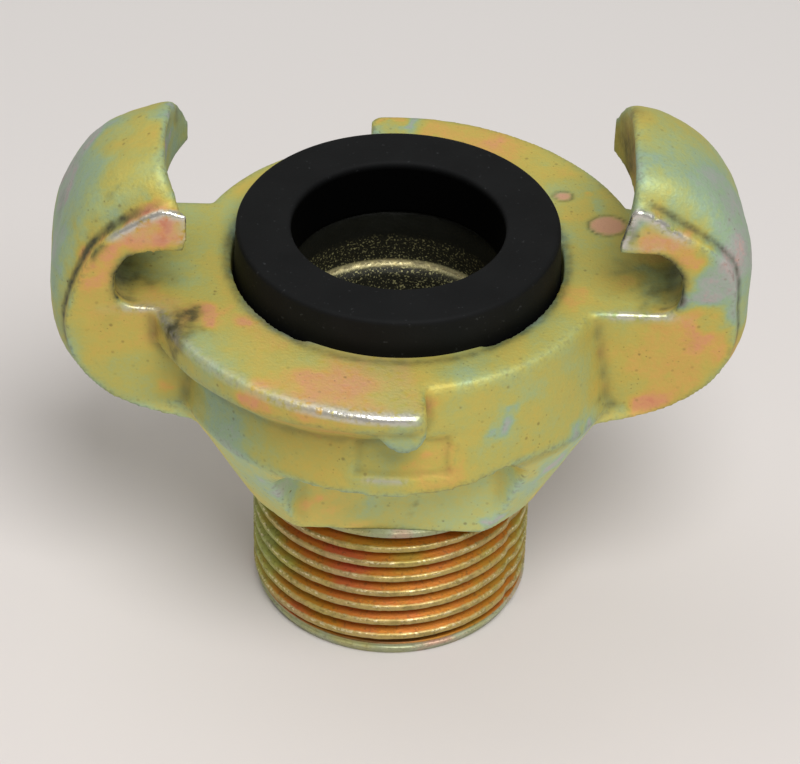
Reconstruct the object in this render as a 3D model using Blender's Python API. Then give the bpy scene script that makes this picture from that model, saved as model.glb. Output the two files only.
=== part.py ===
"""Claw coupling half with a male pipe thread, built as closed solids in metres.

The axis of the thread is +Z, the thread's end face stands on z = 0 and the
claws lie on +X and -X. The head repeats itself after half a turn about Z, but
for the back of the claw on +X, which is cast a little fuller.
"""
import math

import bpy
import bmesh

MM = 0.001

# Thread end, three quarter inch parallel pipe thread, right hand
THREAD_MAJOR_R = 13.22 * MM
THREAD_DEPTH = 1.17 * MM
THREAD_LENGTH = 13.9 * MM
THREAD_PITCH = 1.814 * MM
THREAD_START = 0.628
CREST_WIDTH = 0.42 * MM
RUN_OUT_SLOPE = 1.2
THREAD_WALL = 2.35 * MM
END_CHAMFER = 1.0 * MM
END_SLOPE = 0.85
BORE_CHAMFER = 0.6 * MM
RELIEF_LENGTH = 0.9 * MM
COLLAR_LENGTH = 0.5 * MM
COLLAR_STEP = 0.12 * MM

# Neck, a cone with two wrench flats
NECK_SHOULDER = 1.88 * MM
NECK_LENGTH = 11.1 * MM
FLAT_INSET = 0.62 * MM
FLAT_HALF_WIDTH = 9.1 * MM
FLAT_OFFSET = 0.9 * MM
FLAT_END_DROP = 2.8 * MM
FLAT_END_SLOPE = 3.5 * MM

# Cup that holds the sealing ring, its depths taken from the face
CUP_DEPTH = 10.8 * MM
CUP_WALL = 2.4 * MM
CUP_TAPER = 1.6 * MM
CUP_EDGE_LIFT = 1.4 * MM
CUP_LIFT_ANGLE = 126.0
CUP_LIFT_SPREAD = 17.0
RECESS_R = 15.5 * MM
LIP_DEPTH = 3.2 * MM
GROOVE_UNDERCUT = 1.2 * MM
GROOVE_HEIGHT = 3.6 * MM
SPIGOT_GAP = 3.2 * MM
SPIGOT_WALL = 2.2 * MM
SPIGOT_DEPTH = 2.1 * MM
SPIGOT_LENGTH = 2.6 * MM
PASSAGE_WIDENING = 0.5 * MM
PASSAGE_DEPTH = 8.1 * MM
LEDGE_HEIGHT = 1.0 * MM

# Ramp rims, one from each claw round to a step
RIM_START = 18.0
RIM_END = 97.9
RIM_REACH_START = 3.9 * MM
RIM_REACH_END = 4.1 * MM
RIM_EDGE_START = 3.5 * MM
RIM_EDGE_END = 1.4 * MM
RIM_SLOPE = 0.9
RIM_CORNER_R = 1.3 * MM

# Catch under the end of each rim
CATCH_HALF_WIDTH = 2.1 * MM
CATCH_DEPTH = 4.3 * MM
CATCH_SETBACK = 0.4 * MM
CATCH_CENTRE = 92.5

# Claws
CLAW_HALF_WIDTH = 8.2 * MM
CLAW_LAND = 1.0 * MM
CLAW_OFFSET = 0.5 * MM
CLAW_TIP_R = 21.0 * MM
CLAW_HOOK = 5.2 * MM
CLAW_ROOT_SINK = 1.0 * MM
CLAW_ROOT_DROP = 1.9 * MM
CLAW_BULGE = 2.3 * MM
CLAW_TIP_UP = 6.3 * MM
CLAW_TIP_HEIGHT = 3.7 * MM
CLAW_SLOT_TAPER = 0.2 * MM
CLAW_SLOT_TILT = 0.3 * MM
RIGHT_CLAW_TAPER = 0.55 * MM
RIGHT_CLAW_FILL = 0.8 * MM
LEFT_CLAW_TAPER = 0.7 * MM
LEFT_CLAW_FILL = 0.0 * MM

# Back of a claw from tip to root: how far its end faces lie outside the slot
# circle and above the face in millimetres, the share of the bulge that the
# middle adds outwards and upwards, and the share of the taper and of the fill
CLAW_BACK = (
    (-6.0, 10.4, 0.2, 1.4, 0.0), (-4.4, 9.9, 0.78, 1.22, 0.4), (-2.3, 8.6, 1.04, 1.09, 0.5),
    (-0.2, 7.1, 0.98, 0.8, 0.7), (1.5, 5.1, 0.87, 0.4, 1.1), (2.65, 2.7, 0.84, 0.2, 1.2),
    (3.4, 0.1, 0.72, 0.0, 1.0), (3.7, -2.7, 0.59, -0.1, 0.8), (3.1, -5.6, 0.5, -0.2, 0.6),
    (1.4, -8.3, 0.4, -0.3, 0.3), (-1.2, -10.4, 0.2, -0.3, 0.0), (-4.0, -11.6, 0.1, -0.2, 0.0),
)

# Slot wall of a claw from the face round to the tip: how far it lies outside
# the slot circle and above the face, in millimetres
CLAW_SLOT = (
    (-1.5, 0.0), (-0.6, 0.5), (-0.1, 1.6), (-0.1, 3.2),
    (-0.5, 4.6), (-1.3, 5.6), (-2.4, 6.2), (-3.6, 6.3),
)

# Sealing ring
RING_PROUD = 3.75 * MM
RING_HOLE_STEP = 0.43 * MM
RING_TOP_STEP = 0.9 * MM
RING_ROOT_STEP = 0.55 * MM
FIT = 0.3 * MM

TURN_STEPS = 96
LINE_MARGIN = 0.12 * MM

# Radii and heights that follow from the sizes above
RELIEF_R = THREAD_MAJOR_R - THREAD_DEPTH
BORE_R = RELIEF_R - THREAD_WALL
NECK_BOTTOM_R = THREAD_MAJOR_R + NECK_SHOULDER
END_R = THREAD_MAJOR_R - END_CHAMFER
COLLAR_R = THREAD_MAJOR_R - COLLAR_STEP
COLLAR_Z = THREAD_LENGTH + RELIEF_LENGTH
NECK_BOTTOM_Z = COLLAR_Z + COLLAR_LENGTH
FLAT_Y = THREAD_MAJOR_R - FLAT_INSET
CUP_EDGE_Z = NECK_BOTTOM_Z + NECK_LENGTH
FACE_Z = CUP_EDGE_Z + CUP_DEPTH
GROOVE_R = RECESS_R + GROOVE_UNDERCUT
FACE_R = GROOVE_R + CUP_WALL
CUP_EDGE_R = FACE_R + CUP_TAPER
GROOVE_TOP_Z = FACE_Z - LIP_DEPTH
GROOVE_BOTTOM_Z = GROOVE_TOP_Z - GROOVE_HEIGHT
SPIGOT_R = RECESS_R - SPIGOT_GAP
SPIGOT_BORE_R = SPIGOT_R - SPIGOT_WALL
SPIGOT_TOP_Z = FACE_Z - SPIGOT_DEPTH
PASSAGE_R = SPIGOT_BORE_R + PASSAGE_WIDENING
LEDGE_Z = FACE_Z - PASSAGE_DEPTH
CLAW_SLOT_R = CLAW_TIP_R + CLAW_HOOK
CLAW_TIP_Z = FACE_Z + CLAW_TIP_UP
CLAW_ROOT_R = FACE_R - CLAW_ROOT_SINK
CLAW_ROOT_Z = CUP_EDGE_Z - CLAW_ROOT_DROP
CATCH_OUT_R = FACE_R + RIM_REACH_END - CATCH_SETBACK
RING_HOLE_R = SPIGOT_BORE_R - RING_HOLE_STEP
RING_TOP_Z = FACE_Z + RING_PROUD


def clear_scene():
    """Take every object out of the scene."""
    for obj in list(bpy.data.objects):
        bpy.data.objects.remove(obj, do_unlink=True)


def make_material(name, colour, metallic, roughness):
    """Give a Principled material with one base colour."""
    mat = bpy.data.materials.new(name)
    mat.use_nodes = True
    shader = mat.node_tree.nodes["Principled BSDF"]
    shader.inputs["Base Color"].default_value = (*colour, 1.0)
    shader.inputs["Metallic"].default_value = metallic
    shader.inputs["Roughness"].default_value = roughness
    return mat


def add_object(name, verts, faces, mat):
    """Turn lists of points and faces into a mesh object with outward faces."""
    mesh = bpy.data.meshes.new(name)
    mesh.from_pydata(verts, [], faces)
    mesh.materials.append(mat)
    bm = bmesh.new()
    bm.from_mesh(mesh)
    bmesh.ops.recalc_face_normals(bm, faces=bm.faces)
    bm.to_mesh(mesh)
    bm.free()
    obj = bpy.data.objects.new(name, mesh)
    bpy.context.scene.collection.objects.link(obj)
    return obj


def polar(r, degrees, z):
    """Point at radius r, angle about Z and height z."""
    a = math.radians(degrees)
    return (r * math.cos(a), r * math.sin(a), z)


def blend(a, b, t):
    """Straight mix of a and b, t held between 0 and 1."""
    t = min(1.0, max(0.0, t))
    return a + (b - a) * t


def rim_fraction(degrees):
    """Share of the way along a rim, or None where there is no rim."""
    a = (degrees - RIM_START) % 180.0
    length = RIM_END - RIM_START
    if a <= length + 1e-6:
        return a / length
    return None


def rim_radius(degrees):
    """Outer radius of the face, with a rounded corner at the rim's step."""
    share = rim_fraction(degrees)
    if share is None:
        return FACE_R
    full = FACE_R + blend(RIM_REACH_START, RIM_REACH_END, share)
    left = math.radians((1.0 - share) * (RIM_END - RIM_START)) * full
    if left < RIM_CORNER_R:
        drop = RIM_CORNER_R - math.sqrt(RIM_CORNER_R ** 2 - (RIM_CORNER_R - left) ** 2)
        return full - drop
    return full


def cup_edge_height(degrees):
    """Height of the cup's lower edge, lifted once each half turn."""
    off = (degrees - CUP_LIFT_ANGLE + 90.0) % 180.0 - 90.0
    return CUP_EDGE_Z + CUP_EDGE_LIFT * math.exp(-((off / CUP_LIFT_SPREAD) ** 2))


def cup_radius(z):
    """Outside of the cup, tapering a little towards the face."""
    return blend(CUP_EDGE_R, FACE_R, (z - CUP_EDGE_Z) / (FACE_Z - CUP_EDGE_Z))


def thread_section(degrees):
    """Thread lines at one angle: two along each crest and one along each root.

    A line below the thread is given as "end" and one above it as "top". All lines
    climb by one pitch in a turn, so a line meets the third one above it.
    """
    pts = []
    for turn in range(math.ceil(THREAD_LENGTH / THREAD_PITCH) + 2):
        crest = THREAD_PITCH * (turn + degrees / 360.0 + THREAD_START - 2.0)
        for z, r in (
            (crest - CREST_WIDTH / 2, THREAD_MAJOR_R),
            (crest + CREST_WIDTH / 2, THREAD_MAJOR_R),
            (crest + THREAD_PITCH / 2, RELIEF_R),
        ):
            if z < LINE_MARGIN:
                pts.append("end")
            elif z > THREAD_LENGTH - LINE_MARGIN:
                pts.append("top")
            else:
                run_out = RELIEF_R + RUN_OUT_SLOPE * (THREAD_LENGTH - z)
                pts.append((min(r, END_R + END_SLOPE * z, run_out), z))
    return pts


def outer_section(degrees):
    """Outside points of the body at one angle, from the thread up to the face."""
    pts = [
        (RELIEF_R, THREAD_LENGTH),
        (RELIEF_R, COLLAR_Z - 0.2 * MM),
        (COLLAR_R, COLLAR_Z + 0.05 * MM),
        (COLLAR_R, NECK_BOTTOM_Z),
        (NECK_BOTTOM_R - 0.5 * MM, NECK_BOTTOM_Z + 0.02 * MM),
    ]
    cup_z = cup_edge_height(degrees)
    cup_r = cup_radius(cup_z)
    for step in range(5):
        z = blend(NECK_BOTTOM_Z + 0.5 * MM, cup_z - 0.5 * MM, step / 4)
        r = blend(NECK_BOTTOM_R, cup_r, (z - NECK_BOTTOM_Z) / (cup_z - NECK_BOTTOM_Z))
        pts.append((r, z))
    pts.append((cup_radius(cup_z + 0.6 * MM), cup_z + 0.6 * MM))
    share = rim_fraction(degrees)
    if share is None:
        edge_z = FACE_Z - RIM_EDGE_END
        pts.append((cup_radius(edge_z - 2.5 * MM), edge_z - 2.5 * MM))
        pts.append((cup_radius(edge_z), edge_z))
    else:
        top_r = rim_radius(degrees)
        edge_z = FACE_Z - blend(RIM_EDGE_START, RIM_EDGE_END, share)
        root_z = edge_z - RIM_SLOPE * (top_r - FACE_R - 0.4 * MM)
        pts.append((cup_radius(root_z), root_z))
        pts.append((top_r, edge_z))
    pts.append((rim_radius(degrees), FACE_Z - 0.25 * MM))
    pts.append((rim_radius(degrees) - 0.25 * MM, FACE_Z))
    return pts


def inner_section():
    """Inside points of the body, from the face down through the bore."""
    return [
        (RECESS_R + 0.3 * MM, FACE_Z),
        (RECESS_R, FACE_Z - 0.3 * MM),
        (RECESS_R, GROOVE_TOP_Z),
        (GROOVE_R, GROOVE_TOP_Z - 0.3 * MM),
        (GROOVE_R, GROOVE_BOTTOM_Z),
        (SPIGOT_R, GROOVE_BOTTOM_Z),
        (SPIGOT_R, SPIGOT_TOP_Z),
        (SPIGOT_BORE_R, SPIGOT_TOP_Z),
        (SPIGOT_BORE_R, SPIGOT_TOP_Z - SPIGOT_LENGTH),
        (PASSAGE_R, LEDGE_Z),
        (BORE_R, LEDGE_Z - LEDGE_HEIGHT),
        (BORE_R, BORE_CHAMFER),
        (BORE_R + BORE_CHAMFER, 0.0),
    ]


def turn_angles():
    """Angles of the turned grid, closer together at the steps of the rims."""
    angles = {round(360.0 * i / TURN_STEPS, 4) for i in range(TURN_STEPS)}
    for half in (0.0, 180.0):
        for extra in (RIM_END, RIM_END + 0.4, RIM_END - 1.2, RIM_START, RIM_START - 0.4):
            angles.add(round((extra + half) % 360.0, 4))
    return sorted(angles)


def make_turned_body(mat):
    """Grid of sections round the axis: thread, neck, cup, rims and bore.

    The thread's lines run into the end face and the relief, and after one turn
    each joins the third line above it.
    """
    verts = []
    columns = []
    for degrees in turn_angles():
        section = [(END_R, 0.0)] + outer_section(degrees) + inner_section()
        first = len(verts)
        verts.extend(polar(r, degrees, z) for r, z in section)
        lines = []
        for point in thread_section(degrees):
            if point == "end":
                lines.append(first)
            elif point == "top":
                lines.append(first + 1)
            else:
                lines.append(len(verts))
                verts.append(polar(point[0], degrees, point[1]))
        rest = list(range(first + 1, first + len(section)))
        columns.append(([first], lines, rest))
    end, lines, rest = columns[0]
    columns.append((end, lines[3:] + rest[:1] * 3, rest))
    faces = []
    for near, far in zip(columns, columns[1:]):
        a = sum(near, [])
        b = sum(far, [])
        for k in range(len(a)):
            m = (k + 1) % len(a)
            corners = list(dict.fromkeys((a[k], b[k], b[m], a[m])))
            if len(corners) > 2:
                faces.append(tuple(corners))
    return add_object("coupling_body", verts, faces, mat)


def smooth_through(points, steps):
    """Rounded curve through the points, with the given steps between them."""
    curve = []
    last = len(points) - 1
    for i in range(last):
        before = points[max(i - 1, 0)]
        start = points[i]
        end = points[i + 1]
        after = points[min(i + 2, last)]
        for k in range(steps):
            t = k / steps
            curve.append(tuple(
                0.5 * (2 * start[n] + (end[n] - before[n]) * t
                       + (2 * before[n] - 5 * start[n] + 4 * end[n] - after[n]) * t ** 2
                       + (3 * start[n] - before[n] - 3 * end[n] + after[n]) * t ** 3)
                for n in (0, 1)
            ))
    curve.append(points[last])
    return curve


def claw_section(y, taper, fill):
    """Closed outline (x, z) of a claw at the distance y from its middle.

    The back swells like a cushion between two narrow lands at the end faces, and
    the slot opens a little towards the end that leads when the head is turned.
    The taper makes the back stand out more at that end, and the fill all along.
    """
    share = min(1.0, abs(y) / (CLAW_HALF_WIDTH - CLAW_LAND))
    lead = -y / CLAW_HALF_WIDTH
    tip = math.sqrt(CLAW_TIP_R ** 2 - y ** 2)
    slot = math.sqrt(CLAW_SLOT_R ** 2 - y ** 2)
    root = math.sqrt(CLAW_ROOT_R ** 2 - y ** 2)
    swell = CLAW_BULGE * (1.0 - share ** 5) ** 0.6
    back = [(tip - 0.05 * MM, CLAW_TIP_Z + CLAW_TIP_HEIGHT + 0.85 * swell)]
    for x, z, out, up, part in CLAW_BACK:
        outward = out * swell + part * (taper * lead + blend(0.0, fill, (z - 1.0) / 4.0))
        upward = up * swell + part * blend(0.0, fill, z / 10.0)
        back.append((CLAW_SLOT_R + x * MM + outward, FACE_Z + z * MM + upward))
    back.append((CLAW_ROOT_R + 0.4 * MM, CLAW_ROOT_Z))
    tilt = CLAW_SLOT_TILT * lead
    slot_wall = [
        (slot + x * MM + CLAW_SLOT_TAPER * lead, FACE_Z + z * MM + tilt * z * MM / CLAW_TIP_UP)
        for x, z in CLAW_SLOT
    ]
    slot_wall.append((tip + 0.35 * MM, CLAW_TIP_Z + 0.05 * MM + tilt))
    points = [(tip, CLAW_TIP_Z + 0.4 * MM + tilt)]
    points.extend(smooth_through(back, 2))
    points.extend([(root, CLAW_ROOT_Z - 0.2 * MM), (root, FACE_Z)])
    points.extend(smooth_through(slot_wall, 2))
    return points


def make_claw(name, mat, side, taper, fill):
    """Hooked claw lofted through its sections along Y, turned for the far side."""
    inner = CLAW_HALF_WIDTH - CLAW_LAND
    half = [inner * share for share in (0.3, 0.6, 0.8, 0.92, 0.98, 1.0)] + [CLAW_HALF_WIDTH]
    places = [-y for y in reversed(half)] + [0.0] + half
    stations = len(places)
    verts = []
    for y in places:
        for x, z in claw_section(y, taper, fill):
            verts.append((side * x, side * (y + CLAW_OFFSET), z))
    rows = len(verts) // stations
    faces = [tuple(range(rows)), tuple(range((stations - 1) * rows, stations * rows))]
    for i in range(stations - 1):
        for k in range(rows):
            m = (k + 1) % rows
            faces.append((i * rows + k, (i + 1) * rows + k, (i + 1) * rows + m, i * rows + m))
    return add_object(name, verts, faces, mat)


def make_catch(name, mat, centre):
    """Half round block under the end of a rim, its long way along the radius."""
    outline = [(-CATCH_HALF_WIDTH, FACE_Z - 0.9 * MM), (CATCH_HALF_WIDTH, FACE_Z - 0.9 * MM)]
    top = FACE_Z - CATCH_DEPTH + CATCH_HALF_WIDTH
    for i in range(9):
        a = math.pi * i / 8
        outline.append((CATCH_HALF_WIDTH * math.cos(a), top - CATCH_HALF_WIDTH * math.sin(a)))
    a = math.radians(centre)
    out = (math.cos(a), math.sin(a))
    across = (-math.sin(a), math.cos(a))
    verts = []
    for r in (CLAW_ROOT_R, CATCH_OUT_R):
        for s, z in outline:
            verts.append((out[0] * r + across[0] * s, out[1] * r + across[1] * s, z))
    rows = len(outline)
    faces = [tuple(range(rows)), tuple(range(rows, 2 * rows))]
    for k in range(rows):
        m = (k + 1) % rows
        faces.append((k, rows + k, rows + m, m))
    return add_object(name, verts, faces, mat)


def make_flat_cutter(name, mat, side):
    """Block that cuts one wrench flat, with a sloping top end."""
    near = FLAT_Y
    far = CUP_EDGE_R + FLAT_END_SLOPE
    low = NECK_BOTTOM_Z - 0.1 * MM
    profile = [
        (near, low), (far, low), (far, CUP_EDGE_Z - 0.1 * MM),
        (near + FLAT_END_SLOPE, CUP_EDGE_Z - 0.5 * MM), (near, CUP_EDGE_Z - FLAT_END_DROP),
    ]
    verts = []
    for share, lift in ((-1.0, CUP_EDGE_LIFT), (-0.1, 0.0), (1.0, 0.0)):
        x = share * FLAT_HALF_WIDTH - FLAT_OFFSET
        for y, z in profile:
            high = lift if z > NECK_BOTTOM_Z else 0.0
            verts.append((side * x, side * y, z + high))
    rows = len(profile)
    faces = [tuple(range(rows)), tuple(range(2 * rows, 3 * rows))]
    for i in range(2):
        for k in range(rows):
            m = (k + 1) % rows
            a = i * rows
            faces.append((a + k, a + rows + k, a + rows + m, a + m))
    return add_object(name, verts, faces, mat)


def apply_boolean(target, tool, operation):
    """Join or cut the target with the tool and take the tool away."""
    mod = target.modifiers.new(tool.name, "BOOLEAN")
    mod.operation = operation
    mod.solver = "EXACT"
    mod.object = tool
    depsgraph = bpy.context.evaluated_depsgraph_get()
    depsgraph.update()
    result = bpy.data.meshes.new_from_object(target.evaluated_get(depsgraph))
    target.modifiers.clear()
    old = target.data
    target.data = result
    bpy.data.meshes.remove(old)
    bpy.data.objects.remove(tool, do_unlink=True)


def make_coupling_body():
    """One cast body: turned part, claws, catches and wrench flats."""
    mat = make_material("yellow_chromated_zinc", (0.62, 0.52, 0.2), 1.0, 0.4)
    body = make_turned_body(mat)
    right = make_claw("claw_right", mat, 1, RIGHT_CLAW_TAPER, RIGHT_CLAW_FILL)
    left = make_claw("claw_left", mat, -1, LEFT_CLAW_TAPER, LEFT_CLAW_FILL)
    for claw in (right, left):
        apply_boolean(body, claw, "UNION")
    for centre in (CATCH_CENTRE, CATCH_CENTRE + 180.0):
        apply_boolean(body, make_catch("catch", mat, centre), "UNION")
    for side in (-1, 1):
        apply_boolean(body, make_flat_cutter("flat_cutter", mat, side), "DIFFERENCE")
    return body


def make_sealing_ring():
    """Rubber ring with a skirt in the groove and a flat top proud of the face."""
    mat = make_material("nitrile_rubber", (0.02, 0.02, 0.022), 0.0, 0.7)
    section = [
        (RING_HOLE_R, RING_TOP_Z), (RECESS_R - RING_TOP_STEP, RING_TOP_Z),
        (RECESS_R - RING_ROOT_STEP, GROOVE_TOP_Z + 0.3 * MM),
        (GROOVE_R - FIT, GROOVE_TOP_Z - 0.7 * MM),
        (GROOVE_R - FIT, GROOVE_BOTTOM_Z + FIT),
        (SPIGOT_R + FIT, GROOVE_BOTTOM_Z + FIT),
        (SPIGOT_R + FIT, SPIGOT_TOP_Z + FIT),
        (RING_HOLE_R, SPIGOT_TOP_Z + FIT),
    ]
    verts = []
    rows = len(section)
    for i in range(TURN_STEPS):
        verts.extend(polar(r, 360.0 * i / TURN_STEPS, z) for r, z in section)
    faces = []
    for i in range(TURN_STEPS):
        j = (i + 1) % TURN_STEPS
        for k in range(rows):
            m = (k + 1) % rows
            faces.append((i * rows + k, j * rows + k, j * rows + m, i * rows + m))
    return add_object("sealing_ring", verts, faces, mat)


def main():
    """Build both pieces."""
    clear_scene()
    make_coupling_body()
    make_sealing_ring()


main()
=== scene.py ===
"""Looks of a claw coupling half for compressed air hose, laid out as an add-on.

The casting, its thread and its sealing ring are surfaces worked out with numpy
in metres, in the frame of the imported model: the thread's axis is +Z, its end
face stands on z = 0 and the claws lie on +X and -X.
"""
import math
from functools import partial

import bpy
import numpy as np
from bpy.props import FloatProperty, FloatVectorProperty, IntProperty, PointerProperty
from mathutils import Matrix, Vector


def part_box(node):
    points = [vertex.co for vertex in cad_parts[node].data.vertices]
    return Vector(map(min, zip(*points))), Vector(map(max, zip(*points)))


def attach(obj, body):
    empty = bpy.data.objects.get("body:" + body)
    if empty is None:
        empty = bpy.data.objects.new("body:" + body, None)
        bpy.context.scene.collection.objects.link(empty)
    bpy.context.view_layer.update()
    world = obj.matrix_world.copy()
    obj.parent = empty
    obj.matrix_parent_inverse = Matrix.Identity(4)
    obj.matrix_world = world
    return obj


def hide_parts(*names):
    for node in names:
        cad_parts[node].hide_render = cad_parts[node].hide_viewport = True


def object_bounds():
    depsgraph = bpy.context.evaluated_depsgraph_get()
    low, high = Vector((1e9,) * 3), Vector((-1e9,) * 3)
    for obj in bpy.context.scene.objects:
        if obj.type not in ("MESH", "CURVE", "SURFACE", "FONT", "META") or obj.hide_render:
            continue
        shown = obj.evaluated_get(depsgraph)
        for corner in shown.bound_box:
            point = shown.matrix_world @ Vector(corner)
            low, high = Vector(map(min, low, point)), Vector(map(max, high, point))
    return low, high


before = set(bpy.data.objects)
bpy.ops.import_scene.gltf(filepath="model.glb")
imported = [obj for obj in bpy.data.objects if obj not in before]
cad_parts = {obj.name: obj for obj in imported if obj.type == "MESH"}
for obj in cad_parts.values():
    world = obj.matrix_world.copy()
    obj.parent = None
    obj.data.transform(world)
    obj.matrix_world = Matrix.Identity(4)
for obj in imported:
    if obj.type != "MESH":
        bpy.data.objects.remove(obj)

bl_info = {
    "name": "Claw coupling half",
    "version": (1, 0, 0),
    "blender": (4, 5, 0),
    "location": "View3D > Sidebar > Coupling",
    "description": "Makes a claw coupling half with its sealing ring, thread and finish",
    "category": "Object",
}

MM = 0.001

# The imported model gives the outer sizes
CAD_LOW, CAD_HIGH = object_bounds()
RING_LOW, RING_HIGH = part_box("sealing_ring")

# Heights, from the sealing ring's top downwards
RING_TOP_Z = RING_HIGH[2]
FACE_Z = RING_TOP_Z - 3.75 * MM
CUP_EDGE_Z = FACE_Z - 10.8 * MM
NECK_BOTTOM_Z = CUP_EDGE_Z - 11.1 * MM
COLLAR_Z = NECK_BOTTOM_Z - 0.5 * MM
THREAD_TOP_Z = COLLAR_Z - 0.75 * MM
GROOVE_TOP_Z = FACE_Z - 3.2 * MM
GROOVE_BOTTOM_Z = RING_LOW[2] - 0.3 * MM
SPIGOT_TOP_Z = FACE_Z - 2.1 * MM
LEDGE_Z = FACE_Z - 8.1 * MM

# Radii, from the groove that holds the ring outwards and inwards
GROOVE_R = RING_HIGH[0] + 0.3 * MM
RECESS_R = GROOVE_R - 1.2 * MM
FACE_R = GROOVE_R + 2.4 * MM
CUP_EDGE_R = FACE_R + 1.6 * MM
SPIGOT_R = RECESS_R - 3.2 * MM
SPIGOT_BORE_R = SPIGOT_R - 2.2 * MM
PASSAGE_R = SPIGOT_BORE_R + 0.5 * MM
THREAD_R = 13.22 * MM
THREAD_END_R = THREAD_R - 0.6 * MM
COLLAR_R = THREAD_R - 0.12 * MM
RELIEF_R = THREAD_R - 1.17 * MM
BORE_R = RELIEF_R - 2.35 * MM
NECK_BOTTOM_R = THREAD_R + 1.88 * MM

# Thread: place of the first crest in a pitch, the crest's share of it, how far it
# lies inside the outer radius, the shares of straight flank and round root in the
# depth, and the slopes of the end chamfer, the plain band and the run-out
THREAD_START = 0.628
CREST_SHARE = 0.26
CREST_DROP = 0.03 * MM
FLANK_SHARE = 0.85
ROOT_SHARE = 0.15
END_SLOPE = 0.5
BAND_SLOPE = 0.25
RUN_OUT_SLOPE = 3.5

# Height of the plain band at the thread's end, below the first full groove
START_BAND_Z = 1.65 * MM

# Upright streak of flattened crests on the front right of the thread
DENT_ANGLE = 330.5
DENT_SPREAD = 3.4
DENT_DEPTH = 0.26 * MM

# Ramp rims and the catch under each rim's end
RIM_START = 18.0
RIM_END = 97.9
RIM_REACH = (3.9 * MM, 4.1 * MM)
RIM_EDGE = (3.5 * MM, 1.4 * MM)
RIM_SLOPE = 0.9
RIM_CORNER_R = 1.3 * MM
CATCH_HALF_WIDTH = 2.1 * MM
CATCH_DEPTH = 4.3 * MM
CATCH_R = FACE_R + RIM_REACH[1] - 0.4 * MM
CATCH_CENTRE = 92.5

# Wrench flats
FLAT_Y = THREAD_R - 0.62 * MM
FLAT_HALF_WIDTH = 9.1 * MM
FLAT_OFFSET = 0.9 * MM
FLAT_END_SLOPE = 3.5 / 2.3

# Lifted part of the cup's lower edge
EDGE_LIFT = 1.4 * MM
LIFT_ANGLE = 126.0
LIFT_SPREAD = 17.0

# Bare sunken plate on the front of the cup
PLATE_ANGLE = 272.9
PLATE_HALF_WIDTH = 4.3 * MM
PLATE_TOP_Z = CUP_EDGE_Z + 6.0 * MM
PLATE_LOW_Z = CUP_EDGE_Z + 1.6 * MM
PLATE_DEPTH = 0.3 * MM

# Claws
CLAW_HALF_WIDTH = 8.2 * MM
CLAW_OFFSET = 0.5 * MM
CLAW_LAND = 1.0 * MM
CLAW_TIP_R = 21.0 * MM
CLAW_TIP_UP = 6.3 * MM
CLAW_TIP_Z = FACE_Z + CLAW_TIP_UP
CLAW_TIP_HEIGHT = 3.7 * MM
CLAW_SLOT_R = CLAW_TIP_R + 5.2 * MM
CLAW_SLOT_TAPER = 0.2 * MM
CLAW_SLOT_TILT = 0.3 * MM
CLAW_ROOT_R = FACE_R - 1.0 * MM
CLAW_ROOT_Z = CUP_EDGE_Z - 1.9 * MM
CLAW_BULGE = 2.3 * MM

# Side, taper, fill, reach of the tip's front end, drop of its far end and lean of the
# front end's top, for the right and for the left claw
CLAWS = (
    (1, 0.55 * MM, 0.8 * MM, 0.25 * MM, 0.2 * MM, 1.2 * MM),
    (-1, 0.7 * MM, 0.0, 1.0 * MM, 1.2 * MM, 0.0),
)

# Back of a claw from tip to root: its end faces outside the slot circle and above
# the face in millimetres, the share of the bulge that the middle adds outwards and
# upwards, and the share of the taper and of the fill
CLAW_BACK = np.array((
    (-6.0, 10.4, 0.2, 1.4, 0.0), (-4.4, 9.9, 0.78, 1.22, 0.4), (-2.3, 8.6, 1.04, 1.09, 0.5),
    (-0.2, 7.1, 0.98, 0.8, 0.7), (1.5, 5.1, 0.87, 0.4, 1.1), (2.65, 2.7, 0.84, 0.2, 1.2),
    (3.4, 0.1, 0.72, 0.0, 1.0), (3.7, -2.7, 0.59, -0.1, 0.8), (3.1, -5.6, 0.5, -0.2, 0.6),
    (1.4, -8.3, 0.4, -0.3, 0.3), (-1.2, -10.4, 0.2, -0.3, 0.0), (-4.0, -11.6, 0.1, -0.2, 0.0),
))

# Slot wall of a claw from the face to the tip, in the same terms
CLAW_SLOT = np.array((
    (-1.5, 0.0), (-0.6, 0.5), (-0.1, 1.6), (-0.1, 3.2),
    (-0.5, 4.6), (-1.3, 5.6), (-2.4, 6.2), (-3.6, 6.3),
))

FLOOR_HALF_WIDTH = 3.0

# Camera of the photograph, found from the object's known sizes
PHOTO_WIDTH = 800
PHOTO_FOCAL = 3087.3
CAMERA_PLACE = (0.55 * MM, -225.24 * MM, 202.43 * MM)
CAMERA_TILT = 38.58
CAMERA_ROLL = 1.705


def to_linear(value):
    """Linear colour of an sRGB hex code; a number or a linear colour stays as it is."""
    if not isinstance(value, str):
        return value
    parts = np.array([int(value[i:i + 2], 16) for i in (1, 3, 5)]) / 255.0
    line = np.where(parts <= 0.04045, parts / 12.92, ((parts + 0.055) / 1.055) ** 2.4)
    return (*line.tolist(), 1.0)


# Shapes


def blend(a, b, t):
    """Straight mix from a to b, with t held between 0 and 1."""
    return a + (b - a) * np.clip(t, 0.0, 1.0)


def ease(t):
    """Smooth step from 0 to 1: 3 t squared less 2 t cubed."""
    t = np.clip(t, 0.0, 1.0)
    return t * t * (3.0 - 2.0 * t)


def hill(x, width):
    """Bell curve: e to the power of minus x over width, squared."""
    return np.exp(-((x / width) ** 2))


def turn_gap(degrees, centre, period):
    """Signed angle from the nearest repeat of centre, in degrees."""
    return (degrees - centre + period / 2) % period - period / 2


def angle_of(points):
    """Angle of points about the thread's axis, from 0 to 360 degrees."""
    return np.degrees(np.arctan2(points[:, 1], points[:, 0])) % 360.0


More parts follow.
